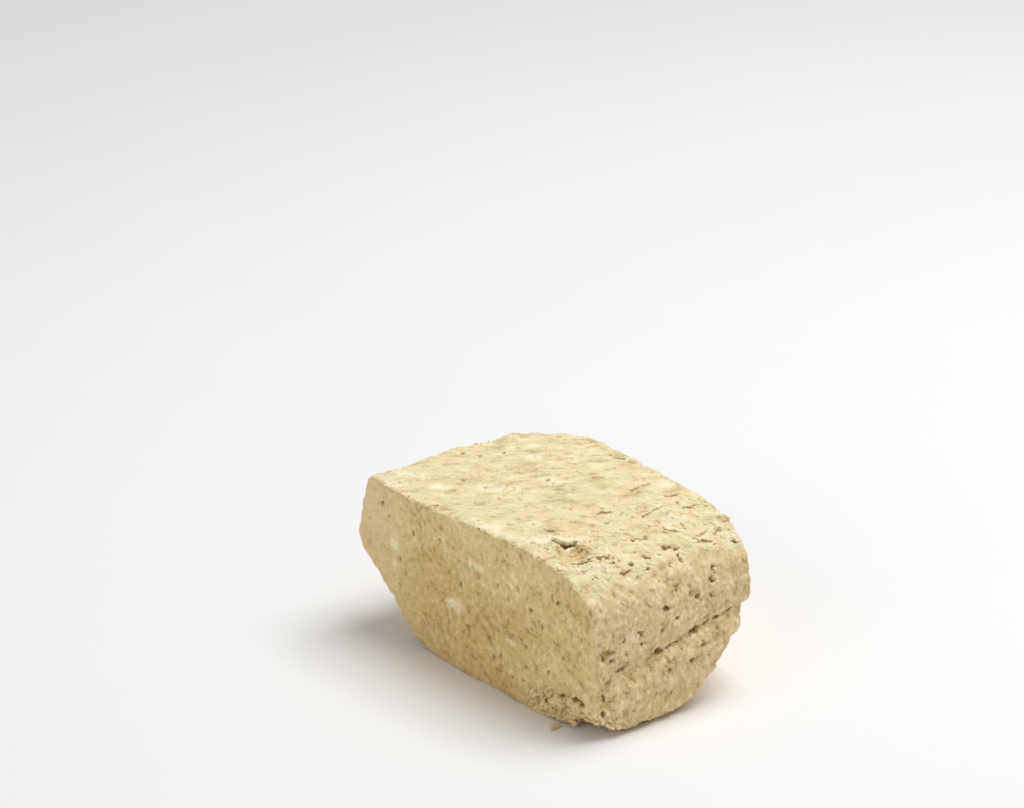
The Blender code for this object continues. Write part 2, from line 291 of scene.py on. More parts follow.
# How many rounds give the average that a point lies below, and how gaps and openings add to it. Lying
# below paints shade and standing out paints a highlight; in gaps it is painted shade, and in openings
# painted shade that is partly the specks' and smudges' own dark colour.
BLUR_ROUNDS = 14
PAINTED_SHADE_IN_GAP = 0.35
SHADE_AND_SPECKS_IN_OPENING = 0.26

# Farther off than anything that counts.
FAR = 9.0


# -------- numbers that vary over a surface

# The noise's grid stands askew, so that no side of the block lies along it.
ASKEW = np.array(Matrix.Rotation(0.9, 3, Vector((1, 2, 3))))


def hashed(cells, salt):
    """A repeatable number from 0 to 1 for each row of whole numbers."""
    cells = cells.astype(np.int64).astype(np.uint32)
    mixed = cells[..., 0] * np.uint32(73856093)
    mixed = mixed ^ (cells[..., 1] * np.uint32(19349663))
    mixed = mixed ^ (cells[..., 2] * np.uint32(83492791))
    mixed = mixed ^ np.uint32(salt * 2654435761 % 2**32)
    for shift, factor in ((16, 0x7FEB352D), (15, 0x846CA68B)):
        mixed = (mixed ^ (mixed >> np.uint32(shift))) * np.uint32(factor)
    return (mixed ^ (mixed >> np.uint32(16))) / 2.0**32


def rise(low, high, value):
    """Rises smoothly from 0 at low to 1 at high."""
    share = np.clip((value - low) / (high - low), 0, 1)
    return share * share * (3 - 2 * share)


def ripple(places, size, salt):
    """Smooth noise, from about -1 to 1, with features of this size. Each salt gives noise of its own."""
    scaled = places @ ASKEW / size
    whole = np.floor(scaled)
    part = scaled - whole
    ease = part**3 * (part * (part * 6 - 15) + 10)
    total = 0
    for corner in np.ndindex(2, 2, 2):
        cell = whole + corner
        slope = np.stack([hashed(cell, salt + axis) * 2 - 1 for axis in range(3)], -1)
        weight = np.where(corner, ease, 1 - ease).prod(-1)
        total = total + ((part - corner) * slope).sum(-1) * weight
    return total * 1.6


def rough(places, size, salt, octaves=3):
    """Noise with finer noise on it."""
    return sum(ripple(places, size / 2**k, salt + 7 * k) / 1.8**k for k in range(octaves))


def warped(places, size, reach, salt):
    """The places, moved about by noise, which makes ragged outlines of round ones."""
    return places + reach * np.stack([rough(places, size, salt + axis, 2) for axis in range(3)], -1)


def grains(places, size, salt):
    """The nearest of many scattered centres: how far its grain's edge is, and a number from 0 to 1
    that is the grain's own. Distances are in grain sizes."""
    scaled = places @ ASKEW / size
    whole = np.floor(scaled)
    first = np.full(len(places), FAR)
    second = first.copy()
    own = np.zeros(len(places))
    for step in np.ndindex(3, 3, 3):
        cell = whole + step - 1
        centre = cell + np.stack([hashed(cell, salt + axis) for axis in range(3)], -1)
        far = np.linalg.norm(scaled - centre, axis=1)
        own = np.where(far < first, hashed(cell, salt + 3), own)
        second = np.where(far < first, first, np.minimum(second, far))
        first = np.minimum(first, far)
    return second - first, own


def sheets(places, size, count, salt):
    """Torn sheets that overlap: each falls gently away from a ragged, steep edge. The height, in
    sheets, and each sheet's own tone from -1 to 1."""
    level = count * rough(places, size, salt)
    sheet = np.floor(level)
    tone = 2 * hashed(np.stack((sheet, sheet, sheet), -1), salt + 31) - 1
    return sheet + rise(0.75, 1, level - sheet) - level + 0.35, tone


def unit(rows):
    """Each row, made one long."""
    return rows / np.linalg.norm(rows, axis=1)[:, None]


# -------- meshes

def added(name, data):
    """A new object in the scene."""
    thing = bpy.data.objects.new(name, data)
    bpy.context.scene.collection.objects.link(thing)
    return thing


def new_piece(name, mesh, material):
    """A piece of the object, which rides with it and stands for its solid."""
    piece = added(name, mesh)
    mesh.materials.append(material)
    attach(piece, "root")
    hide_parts(NODE)


def changed(mesh, **modifiers):
    """The mesh after modifiers, each given by its kind and its settings."""
    holder = added("holder", mesh)
    for kind, settings in modifiers.items():
        modifier = holder.modifiers.new(kind, kind)
        for name, value in settings.items():
            setattr(modifier, name, value)
    bpy.context.view_layer.update()
    graph = bpy.context.evaluated_depsgraph_get()
    result = bpy.data.meshes.new_from_object(holder.evaluated_get(graph))
    bpy.data.objects.remove(holder)
    return result


def fetched(items, what, width, kind=np.int32):
    """What each of the items holds, as a row of this width."""
    values = np.empty(len(items) * width, dtype=kind)
    items.foreach_get(what, values)
    return values.reshape(-1, width)


def read(mesh, what):
    """A mesh's points ("co") or their normals ("normal")."""
    return fetched(mesh.vertices, what, 3, np.float32).astype(float)


def move(mesh, points):
    """Puts a mesh's points where the rows say."""
    mesh.vertices.foreach_set("co", points.astype(np.float32).ravel())
    mesh.update()


def store(mesh, **kept):
    """Keeps a number for each point, under each name."""
    for name, values in kept.items():
        layer = mesh.attributes.get(name) or mesh.attributes.new(name, "FLOAT", "POINT")
        layer.data.foreach_set("value", np.asarray(values, dtype=np.float32))


def recall(mesh, name):
    """The number kept for each point."""
    return fetched(mesh.attributes[name].data, "value", 1, np.float32)[:, 0].astype(float)


def kept_facing(mesh):
    """The way that the smooth body faced at each point, before its relief."""
    return np.stack([recall(mesh, "facing_" + axis) for axis in "xyz"], -1)


def blurred(mesh, values, rounds, where=None):
    """The values, averaged with their neighbours' this many times, all over or only where asked."""
    one, other = fetched(mesh.edges, "vertices", 2).T
    if where is not None:
        near = where[one] | where[other]
        one, other = one[near], other[near]
    size = len(values)
    count = 1 + np.bincount(one, minlength=size) + np.bincount(other, minlength=size)
    for _ in range(rounds):
        near = np.bincount(one, values[other], size) + np.bincount(other, values[one], size)
        spread = (values + near) / count
        values = spread if where is None else np.where(where, spread, values)
    return values


def fine_copy():
    """The solid's surface with small even faces, its facets softened."""
    bm = bmesh.new()
    bm.from_mesh(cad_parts[NODE].data)
    bmesh.ops.remove_doubles(bm, verts=bm.verts, dist=1e-6)
    mesh = bpy.data.meshes.new("halva_body")
    bm.to_mesh(mesh)
    bm.free()
    return changed(
        mesh,
        REMESH={"mode": "VOXEL", "voxel_size": VOXEL * MM},
        SMOOTH={"factor": 0.5, "iterations": SOFTENING},
    )


# -------- the body

def out_of_far_cut(rows):
    """How far each row points out of the far knife cut."""
    return rows[:, 1] * math.cos(FAR_CUT_TURN) + rows[:, 0] * math.sin(FAR_CUT_TURN)


def past_far_cut(places):
    """How far each place lies past the far knife cut."""
    return out_of_far_cut(places[:, :2] - (BAR_WIDTH, PIECE_LENGTH))


def zones(places, normals):
    """How far each point belongs to the top, to the knife cuts, to the sides and to the crumbly foot."""
    top = rise(0.5, 0.85, normals[:, 2]) * rise(*TOP_HEIGHTS, places[:, 2])
    near = rise(0.6, 0.85, -normals[:, 1]) * rise(*CUT_REACH, -places[:, 1])
    far = rise(0.75, 0.9, out_of_far_cut(normals)) * rise(*CUT_REACH, past_far_cut(places))
    cut = np.maximum(near, far) * (1 - top)
    side = (1 - top) * (1 - cut)
    corner = 1 - rise(8, 20, np.linalg.norm(places - BROKEN_CORNER, axis=1))
    edge = places[:, 2] + 2.5 * rough(places, 7, 5, 2) - BROKEN_HEIGHT * corner
    foot = (1 - rise(0, 3.5, edge)) * (0.8 * cut + side) * (0.12 + 0.88 * corner)
    return top, cut, side, foot


def flaky(places, wave=0.24, large=0.34, small=0.10, fine=0.03, worn=0.5):
    """The top's relief: torn sheets, large and small, which run with the grain. Its near edge is
    worn away in places."""
    along = places @ GRAIN
    drawn = places - np.outer(along * (1 - 1 / GRAIN_STRETCH), GRAIN)
    ragged = warped(drawn, 2.0, 0.7, 31)
    broad, broad_tone = sheets(ragged, 6.5, 2.4, 41)
    narrow, narrow_tone = sheets(ragged, 2.4, 2.0, 61)
    torn = 0.6 + 0.7 * rise(40, 64, places[:, 0])
    height = wave * rough(places, 9, 65, 2) + torn * (large * broad + small * narrow)
    height -= worn * rise(0.1, 0.8, rough(places, 2.6, 67, 2)) * (1 - rise(0.3, 1.6, places[:, 1]))
    return height + fine * rough(drawn, 0.9, 71, 2), 0.4 * broad_tone + 0.6 * narrow_tone


def granular(places, wave=0.24, lump=0.21, grain=0.12, dip=0.20, strand=0.12):
    """The sides' relief: grains pressed together, with dips between them, and upright strands. Its tone
    follows the height, which paints shade in the dips and a highlight on the grains, mixed with each
    grain's own tone.
    """
    ragged = warped(places, 1.6, 0.4, 81)
    gap, own = grains(ragged, 1.3, 85)
    off_strand = np.abs(ripple(ragged * (1, 1, 0.4), 1.5, 101))
    small = lump * rough(places, 1.3, 95, 3) + grain * (0.5 * rise(0, 0.35, gap) + own - 0.75)
    small += strand * (0.6 - rise(0, 0.45, off_strand))
    small -= dip * rise(0.25, 0.85, ripple(ragged, 1.5, 97))
    return wave * rough(places, 4.5, 91, 2) + small, np.clip(5 * small + 0.2, -1, 1)


def sliced(places, wave=0.12, lump=0.18, grain=0.10, dip=0.12):
    """The knife cuts' relief: like the sides', but pressed smooth, and the smoother the higher. Its tone
    follows the height too, as painted shade in the dips and a painted highlight on the grains.
    """
    ragged = warped(places, 1.6, 0.4, 121)
    _, own = grains(ragged, 1.3, 125)
    coarse = 0.55 + 0.45 * rise(30, 14, places[:, 2]) + 0.3 * rise(40, 66, places[:, 0])
    small = lump * rough(places, 1.5, 111, 3) + grain * (own - 0.5)
    small -= dip * rise(0.25, 0.85, ripple(ragged, 1.6, 127))
    small *= coarse
    return wave * rough(places, 6, 105, 2) + small, np.clip(5 * small + 0.2, -1, 1)


def crumbly(places, lump=1.05, small=0.35):
    """The foot's relief: loose lumps with gaps between them. Its tone follows the height: painted shade
    in the gaps and a painted highlight on the lumps, mixed with each lump's own tone.
    """
    gap, own = grains(warped(places, 1.8, 1.3, 131), 3.0, 135)
    height = lump * (0.8 * rise(0, 0.35, gap) + 0.5 * own - 0.8) + small * rough(places, 1.3, 141, 3)
    return height, np.clip(2 * height + 0.3, -1, 1)


def within(zone, relief, places):
    """A relief's height and tone, worked out only where its zone is."""
    found = np.flatnonzero(zone > 0.01)
    values = np.zeros((2, len(places)))
    values[:, found] = relief(places[found])
    return values * zone


def crack_height(y):
    """The crack's height at each place along the bar."""
    share = np.clip((y - CRACK_START[0]) / (CRACK_END[0] - CRACK_START[0]), 0, 1)
    climb = np.sin(share * math.pi / 2) * (CRACK_END[1] - CRACK_START[1])
    wander = [noise.noise(Vector((BAR_WIDTH, value, 0)) / CRAG_SIZE) for value in y]
    return CRACK_START[1] + climb + CRACK_WANDER * np.array(wander)


def over_crack(places):
    """How far each place lies over the crack."""
    steps = np.linspace(places[:, 1].min(), places[:, 1].max(), 400)
    return places[:, 2] - np.interp(places[:, 1], steps, crack_height(steps))


def on_crack_side(places, side):
    """How far each place belongs to the side that the crack runs along."""
    return side * rise(66, 74, places[:, 0]) * rise(4, 9, places[:, 1])


def crack_depth(places, side, ragged=0.45):
    """The crack: a shallow valley, which gapes in places."""
    off = over_crack(places) + ragged * rough(places, 1.8, 151, 3)
    depth = VALLEY_DEPTH * (1 - rise(0.2, 1.4, np.abs(off) / VALLEY_HALF_WIDTH))
    depth *= 0.8 + 0.5 * ripple(places * ALONG, 4, 155)
    for middle, half_length, half_width, deep in CRACK_GAPS:
        reach = np.hypot((places[:, 1] - middle) / half_length, off / half_width)
        depth = np.maximum(depth, deep * (1 - rise(0.3, 1.4, reach)))
    return depth * on_crack_side(places, side) * rise(12, 16, places[:, 1])


def oval(places, centre, long, short, half_length, half_width):
    """From 1 in the middle of an oval to 0 outside it."""
    away = places - centre
    reach = np.hypot(away @ long / half_length, away @ short / half_width)
    through = away @ np.cross(long, short) / max(half_length, 1.5)
    return (1 - rise(0.4, 1.3, reach)) * (np.abs(through) < 1.5)


def torn_edge(places, points):
    """How far each place lies beyond a torn edge, and how much of the edge is left there: 1 in its
    middle and 0 at its ends."""
    nearest = np.full(len(places), FAR)
    beyond = nearest.copy()
    left = 0 * nearest
    lengths = np.linalg.norm(np.diff(points, axis=0), axis=1)
    passed = np.append(0, lengths.cumsum())
    for start, end, length, before in zip(points[:-1], points[1:], lengths, passed):
        run = (end - start) / length
        across = np.cross(UP, run)
        across *= np.sign(across @ BEYOND)
        along = np.clip((places - start) @ run, 0, length)
        gap = places - start - along[:, None] * run
        far = np.linalg.norm(gap, axis=1)
        share = (before + along) / passed[-1]
        beyond = np.where(far < nearest, np.copysign(far, gap @ across), beyond)
        left = np.where(far < nearest, rise(0, 0.3, share) * rise(1, 0.7, share), left)
        nearest = np.minimum(nearest, far)
    return beyond, left


def tears(places):
    """The top's torn edges: how far each place is raised, how far it is pulled over the gap, and how
    deep in a gap it lies, from 0 to 1, which sets the painted shade in the gap."""
    raised, pulled, gap_shade = np.zeros((3, len(places)))
    flat = warped(places, 1.1, 0.32, 161) * (ACROSS + ALONG)
    for points, deep, curl in TEARS:
        line = np.array([(x, y, 0) for x, y in points])
        found = close_by(flat, line.mean(axis=0), FAR)
        beyond, left = torn_edge(flat[found], line)
        left = left * rise(30, 33, places[found, 2])
        over = rise(-0.12, 0.12, beyond)
        fading = np.exp(-np.abs(beyond) / TEAR_REACH)
        raised[found] += left * fading * (over * curl - (1 - over) * deep)
        pulled[found] += left * fading * over * TEAR_OVERHANG
        gap_shade[found] = np.maximum(gap_shade[found], left * np.exp(-np.abs(beyond + 0.1) / 0.35))
    return raised, pulled, gap_shade


def close_by(places, centre, reach):
    """Which of the places lie in a cube round the centre."""
    return np.flatnonzero(np.abs(places - centre).max(axis=1) < reach)


def highest_oval(places, ovals):
    """The most that any of the ovals gives at each place. An oval's last number, if it has a fifth,
    is its height."""
    result = np.zeros(len(places))
    for centre, (long, short), half_length, half_width, *height in ovals:
        found = close_by(places, centre, 2 * half_length + 1)
        value = oval(places[found], centre, long, short, half_length, half_width) * (height or [1])[0]
        result[found] = np.where(np.abs(value) > np.abs(result[found]), value, result[found])
    return result


def crease_depth(places, cut):
    """The creases in the near cut."""
    ragged = warped(places, 1.6, 0.6, 169) * (ACROSS + UP)
    nearest = np.full(len(places), FAR)
    for points in CREASES:
        line = np.array([(x, 0, z) for x, z in points])
        for start, end in zip(line[:-1], line[1:]):
            run = end - start
            share = np.clip((ragged - start) @ run / (run @ run), 0, 1)
            nearest = np.minimum(nearest, np.linalg.norm(ragged - start - share[:, None] * run, axis=1))
    depth = CREASE_DEPTH * (0.9 + 1.2 * ripple(places, 3, 173)) * cut * (places[:, 1] < 2)
    return depth * (1 - rise(0.2, 1.4, nearest / CREASE_HALF_WIDTH))


def random_pits(places, normals, zone, settings, random, spread=0.6, longest=2.4):
    """Seeded pits like those in the list, at random places in a zone."""
    count, least, wider, depth = settings
    for index in random.choice(len(places), count, p=zone / zone.sum()):
        normal = normals[index]
        level = np.cross(normal, BEYOND if abs(normal[2]) > 0.8 else UP)
        level /= np.linalg.norm(level)
        turn = random.normal(0, spread)
        long = math.cos(turn) * level + math.sin(turn) * np.cross(normal, level)
        size = least + wider * random.random() ** 3
        length = size * random.uniform(1, longest)
        yield places[index], (long, np.cross(normal, long)), length, size, depth * size


def openings(places, normals, zone_by_name):
    """How deep the pits, the creases and the crack are at each point."""
    random = np.random.default_rng(7)
    pits = list(PITS)
    pits += [((x, 0, z), *SPECK) for x, z in CUT_SPECKS]
    pits += [((x, y, TOP_HEIGHT), *SMUDGE) for x, y in TOP_SMUDGES]
    for name, settings in RANDOM_PITS.items():
        pits += random_pits(places, normals, zone_by_name[name], settings, random)
    depth = highest_oval(warped(warped(places, 1.9, 0.5, 163), 0.8, 0.35, 165), pits)
    depth = np.maximum(depth, crease_depth(places, zone_by_name["cut"]))
    return np.maximum(depth, crack_depth(places, zone_by_name["side"]))


def hollow_layers(places, layers=2.2, thickness=0.5):
    """The torn hollow's steps, layer under layer."""
    long = math.cos(HOLLOW_TURN) * ALONG + math.sin(HOLLOW_TURN) * ACROSS
    short = math.cos(HOLLOW_TURN) * ACROSS - math.sin(HOLLOW_TURN) * ALONG
    away = warped(places, 2.2, 0.7, 171) - HOLLOW_CENTRE
    reach = np.hypot(away @ long / (HOLLOW_LENGTH / 2), away @ short / (HOLLOW_WIDTH / 2))
    inside = (1 - rise(0.7, 1.3, reach)) * rise(30, 34, places[:, 2])
    level = layers * inside + 0.5 * ripple(places, 3, 175)
    steps = np.floor(level) + rise(0.75, 1, level % 1)
    return inside * thickness * (level - steps)


def eased_crack(mesh, points, places, side):
    """The points, with the solid's narrow crack filled up to a smooth side."""
    share = on_crack_side(places, side) * (1 - rise(0.6, 1, np.abs(over_crack(places)) / CRACK_REACH))
    smooth = [blurred(mesh, points[:, axis], CRACK_SOFTENING, share > 0) for axis in range(3)]
    return points + share[:, None] * (np.stack(smooth, -1) - points)


def shape_body(mesh):
    """Gives the fine copy its relief, and keeps what colours it, with the painted shade and highlight
    that follow its relief.
    """
    points = read(mesh, "co")
    places = points / MM - CORNER
    top, cut, side, foot = zones(places, read(mesh, "normal"))
    points = eased_crack(mesh, points, places, side)
    move(mesh, points)
    normals = read(mesh, "normal")
    store(mesh, facing_x=normals[:, 0], facing_y=normals[:, 1], facing_z=normals[:, 2])

    relief, tone = (
        within(top * (1 - foot), flaky, places)
        + within(side * (1 - foot), granular, places)
        + within(cut * (1 - foot), sliced, places)
        + within(foot, crumbly, places))
    dents = openings(places, normals, {"top": top, "side": side, "cut": cut})
    raised, pulled, gap_shade = tears(places)
    relief *= 1 - FLATTENING * rise(0, 0.4, dents)
    relief += hollow_layers(places) + highest_oval(warped(places, 1.5, 0.5, 181), LUMPS) - dents + raised
    relief *= rise(0, BASE_MARGIN, places[:, 2] + CORNER[2])
    relief = np.maximum(relief, -DEEPEST)

    moved = points + (normals * relief[:, None] - BEYOND * pulled[:, None]) * MM
    moved[:, 2] = np.maximum(moved[:, 2], 0)
    move(mesh, moved)

    stained = warped(places, 1.8, 1.0, 191)
    # Pale patches; those on the hollow's near ridge are a painted highlight.
    pale = highest_oval(stained, PALE_AND_HIGHLIT_PATCHES)
    rusty = highest_oval(stained, RUSTY_PATCHES)
    # Lying below the neighbours' average paints shade in pits, gaps and crevices, twice as much in the
    # foot, and standing out paints a highlight; in specks and smudges the darkening is partly their own
    # colour.
    sunk = blurred(mesh, relief, BLUR_ROUNDS) - relief + PAINTED_SHADE_IN_GAP * gap_shade + SHADE_AND_SPECKS_IN_OPENING * dents
    store(mesh, top=top, cut=cut, foot=foot, tone=tone, pale=pale, rusty=rusty, sunk=sunk * (1 + foot))


def lay_out(mesh, margin=2):
    """A flat map of the body: each face goes to the sheet of the side that it faces."""
    box = np.array([list(corner) for corner in CAD_BOX]) / MM
    size = box[1] - box[0] + 2 * margin
    faces = fetched(mesh.loops, "vertex_index", 1).reshape(-1, 3)
    facing = kept_facing(mesh)[faces].mean(axis=1)
    axis = np.abs(facing).argmax(axis=1)
    front = np.take_along_axis(facing, axis[:, None], 1)[:, 0] > 0
    place = (read(mesh, "co") / MM - box[0] + margin)[faces]
    u = np.where((axis == 0)[:, None], place[..., 1], place[..., 0])
    v = np.where((axis == 2)[:, None], place[..., 1], place[..., 2])
    left = np.where(axis == 0, size[1], size[0]) * front
    bottom = np.choose(axis, (size[1] + size[2], size[1], 0))
    flat = np.stack((u + left[:, None], v + bottom[:, None]), -1) / (size[0] * 2)
    layer = mesh.uv_layers.new(name="OFBake")
    layer.data.foreach_set("uv", flat.astype(np.float32).ravel())


def make_body(material):
    mesh = fine_copy()
    shape_body(mesh)
    ratio = BODY_TRIANGLES / (2 * len(mesh.polygons))
    mesh = changed(mesh, DECIMATE={"ratio": ratio, "use_collapse_triangulate": True})
    mesh.name = "halva_body"
    mesh.shade_smooth()
    lay_out(mesh)
    new_piece("halva_body", mesh, material)
    return mesh


# -------- small things that lie on the body

def scattered(body, count, density, random):
    """Seeded random points on the body, closer together where density is higher."""
    body.calc_loop_triangles()
    corners = fetched(body.loop_triangles, "vertices", 3)
    points = read(body, "co") / MM
    smooth = kept_facing(body)
    one, two, three = (points[corners[:, k]] for k in range(3))
    area = np.linalg.norm(np.cross(two - one, three - one), axis=1)
    off_base = rise(0.6, 1.4, points[:, 2])
    weight = area * (density * off_base)[corners].mean(axis=1)
    chosen = random.choice(len(weight), count, p=weight / weight.sum())
    share = random.dirichlet((1, 1, 1), count)[..., None]
    place = (points[corners[chosen]] * share).sum(axis=1)
    normal = (smooth[corners[chosen]] * share).sum(axis=1)
    return place, unit(normal)


def frames(normals, random, spread, grain=UP, order=0.0):
    """Three directions for each thing: its length, its width and its thickness. The thickness leans
    off the surface's normal by about the spread. The more order, the nearer lengths are to the grain."""
    thick = unit(normals + spread * random.normal(size=normals.shape))
    guess = random.normal(size=normals.shape) + order * grain
    width = unit(np.cross(thick, guess))
    return np.stack((np.cross(width, thick), width, thick), axis=1)


def joined(name, shapes, faces, tones, material):
    """One mesh from many like shapes, each given as its points in millimetres. What would reach
    below the floor is lifted onto it."""
    count, each = shapes.shape[:2]
    lift = np.maximum(-shapes[..., 2].min(axis=1), 0)
    shapes = shapes + lift[:, None, None] * UP
    mesh = bpy.data.meshes.new(name)
    order = (np.arange(count)[:, None, None] * each + np.array(faces)).reshape(-1, 3)
    mesh.from_pydata((shapes.reshape(-1, 3) * MM).tolist(), [], order.tolist())
    store(mesh, tone=np.repeat(tones, each))
    mesh.update()
    new_piece(name, mesh, material)


def placed(points, turns, places):
    """Points given along each thing's own directions, moved to where it lies."""
    return np.einsum("nkc,ncd->nkd", points, turns) + places[:, None, :]


def chip_faces(rim):
    """A flat chip: points 0 and 1 are its two middles, then come its upper and its lower rim."""
    faces = []
    for k in range(rim):
        upper, upper_next = 2 + k, 2 + (k + 1) % rim
        lower, lower_next = upper + rim, upper_next + rim
        faces += [(0, upper, upper_next), (1, lower_next, lower)]
        faces += [(upper, lower, lower_next), (upper, lower_next, upper_next)]
    return faces


def chips(name, places, turns, sizes, thickness, rim, tones, material, random, stretch=1.7):
    """Thin ragged chips, a little domed, each set halfway into what it lies on."""
    count = len(places)
    angle = np.arange(rim) * 2 * math.pi / rim + random.uniform(-0.3, 0.3, (count, rim))
    reach = sizes[:, None] / 2 * random.uniform(0.6, 1.15, (count, rim))
    long = random.uniform(1, stretch, (count, 1))
    outline = np.stack((np.cos(angle) * reach * long, np.sin(angle) * reach / long, 0 * angle), -1)
    high = thickness[:, None, None] * UP
    curl = np.zeros_like(outline)
    curl[..., 2] = random.uniform(-0.7, 0.5, (count, rim)) * thickness[:, None]
    upper = outline * 0.85 + high * 0.3 + curl
    lower = outline - high * 0.7 + curl
    middles = np.concatenate((high, -high), axis=1) * 0.7
    shapes = placed(np.concatenate((middles, upper, lower), axis=1), turns, places)
    joined(name, shapes, chip_faces(rim), tones, material)


def make_flakes(body, material, count=1500, ragged_spot=(70, 9)):
    """Loose flakes on the top, thickest along its edges and beside the hollow."""
    random = np.random.default_rng(11)
    top = recall(body, "top")
    x, y, _ = (read(body, "co") / MM - CORNER).T
    inside_far_cut = -past_far_cut(np.stack((x, y), -1))
    edge = 1 - rise(0.5, 2.5, y) * rise(0.5, 2.5, x) * rise(0.5, 2.5, inside_far_cut)
    ragged = 1 - rise(3, 9, np.hypot(x - ragged_spot[0], y - ragged_spot[1]))
    places, normals = scattered(body, count, top * (0.3 + edge + ragged + 0.4 * rise(45, 60, x)), random)
    sizes = 0.5 + 1.5 * random.random(count) ** 2.2
    turns = frames(normals, random, 0.10, GRAIN, 1.6)
    thickness = random.uniform(0.07, 0.15, count)
    tones = random.uniform(-1, 1, count)
    chips("halva_flakes", places, turns, sizes, thickness, 8, tones, material, random)


def make_husks(body, material, count=240):
    """Chips of seed husk."""
    random = np.random.default_rng(13)
    places, normals = scattered(body, count, 1 - 0.4 * recall(body, "top"), random)
    sizes = 0.25 + 0.35 * random.random(count) ** 2.5
    turns = frames(normals, random, 0.15, GRAIN, 0.5)
    tones = random.uniform(-1, 1, count)
    chips("halva_husks", places, turns, sizes, sizes * 0.15, 5, tones, material, random)


def ball():
    """A round mesh's points and faces."""
    bm = bmesh.new()
    bmesh.ops.create_icosphere(bm, subdivisions=3, radius=1)
    points = np.array([v.co for v in bm.verts])
    faces = [[v.index for v in face.verts] for face in bm.faces]
    bm.free()
    return points, faces


def make_crumbs(body, material, count=260):
    """Crumbs that cling to the crumbling foot, and a few small ones elsewhere."""
    random = np.random.default_rng(17)
    top, cut, foot = (recall(body, name) for name in ("top", "cut", "foot"))
    side = (1 - top) * (1 - cut)
    places, normals = scattered(body, count, 0.003 + 0.006 * side + foot**3, random)
    points, faces = ball()
    sizes = 0.25 + 0.35 * random.random((count, 1, 1)) ** 2
    dents = np.stack([rough(points + 9 * k, 1.3, 211, 2) for k in range(count)])
    lumps = points * (1 + 0.5 * dents)[..., None] * random.uniform(0.6, 1.5, (count, 1, 3))
    shapes = placed(lumps * sizes, frames(normals, random, 0.5), places - 0.4 * sizes[:, 0] * normals)
    joined("halva_crumbs", shapes, faces, random.uniform(-1, 1, count), material)


def make_loose_crumb(material, place=(72.0, -2.0, 0.0), size=(1.5, 0.7, 0.6), turn=1.75):
    """The one crumb that has dropped off in front of the near cut."""
    points, faces = ball()
    lumpy = points * (1 + 0.4 * rough(points, 1.1, 201))[:, None] * size
    turned = np.array([[(math.cos(turn), math.sin(turn), 0), (-math.sin(turn), math.cos(turn), 0), UP]])
    middle = np.array([place]) + CORNER
    joined("halva_loose_crumb", placed(lumpy[None], turned, middle), faces, np.zeros(1), material)


def make_fibres(body, material, count=3600):
    """Short sugar strands, which stand upright on the sides."""
    random = np.random.default_rng(19)
    top, cut = recall(body, "top"), recall(body, "cut")
    places, normals = scattered(body, count, 1 - 0.85 * top - 0.93 * cut, random)
    turns = frames(normals, random, 0.08, UP, 1.2)
    steps = np.array((-0.5, -0.3, 0, 0.3, 0.5))
    thin = np.array((0, 0.8, 1, 0.8, 0))
    length = 0.7 + 2.6 * random.random((count, 1)) ** 3
    width = random.uniform(0.06, 0.13, (count, 1))
    bend = random.uniform(-0.7, 0.7, (count, 1)) * length
    middle = np.stack((steps * length, bend * steps**2, -0.25 * steps**2 * length), -1)
    rings = []
    for k in range(1, 4):
        for sideways, outwards in ((1, 0), (0, 1), (-1, 0), (0, -1)):
            off = np.stack((0 * width, sideways * width, outwards * width * 0.7), -1) * thin[k]
            rings.append(middle[:, k:k + 1] + off)
    shapes = placed(np.concatenate((middle[:, :1], middle[:, 4:], *rings), axis=1), turns, places)
    faces = []
    for k in range(4):
        after = (k + 1) % 4
        faces += [(0, 2 + after, 2 + k), (1, 10 + k, 10 + after)]
        for ring in (2, 6):
            here, beside = ring + k, ring + after
            faces += [(here, beside, beside + 4), (here, beside + 4, here + 4)]
    joined("halva_fibres", shapes, faces, random.uniform(-1, 1, count), material)


# -------- materials

